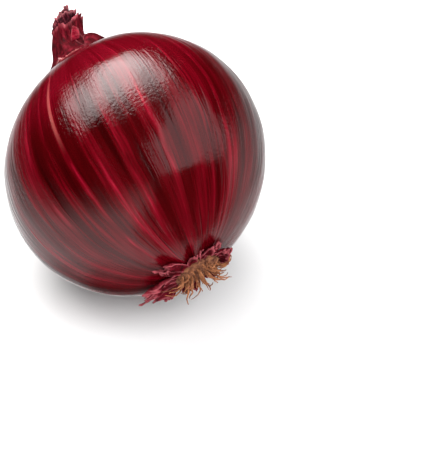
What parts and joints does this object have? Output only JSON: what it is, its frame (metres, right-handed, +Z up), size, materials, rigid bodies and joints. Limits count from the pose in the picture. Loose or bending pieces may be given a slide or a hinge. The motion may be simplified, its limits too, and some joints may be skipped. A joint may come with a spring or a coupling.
{
  "type": "red onion",
  "caption": "Round red onion bulb lying on its side, with a dry torn neck, a corky root plate, shreds of dry skin and curled rootlets.",
  "frame": {"origin": "middle of the small flat spot under the bulb that the onion rests on", "axes": "+Z up, away from the surface it rests on; the neck points to -X and 30 degrees above level, the root end to +X and 30 degrees below level"},
  "size_m": [0.0905, 0.082, 0.0806],
  "materials": {
    "skin": "glossy burgundy onion skin with red and maroon streaks from neck to root",
    "dry_neck": "matte dry leaf sheath, dark wine red with lengthwise ribs",
    "root": "rough brown cork",
    "rootlet": "dry tan root fibre"
  },
  "bodies": {
    "root": {"bulb": "skin", "neck_core": "dry_neck", "neck_curl": "dry_neck", "neck_flap": "dry_neck", "neck_sheath_back": "dry_neck", "neck_sheath_front": "dry_neck", "neck_sheath_side": "dry_neck", "root_plate": "root", "root_shred_01": "dry_neck", "root_shred_02": "dry_neck", "root_shred_03": "dry_neck", "root_shred_04": "dry_neck", "root_shred_05": "dry_neck", "root_shred_06": "dry_neck", "root_shred_07": "dry_neck", "rootlet_01": "rootlet", "rootlet_02": "rootlet", "rootlet_03": "rootlet", "rootlet_04": "rootlet", "rootlet_05": "rootlet", "rootlet_06": "rootlet", "rootlet_07": "rootlet", "rootlet_08": "rootlet", "rootlet_09": "rootlet", "rootlet_10": "rootlet", "rootlet_11": "rootlet", "rootlet_12": "rootlet", "rootlet_13": "rootlet", "rootlet_14": "rootlet", "rootlet_15": "rootlet", "rootlet_16": "rootlet"}
  },
  "joints": []
}
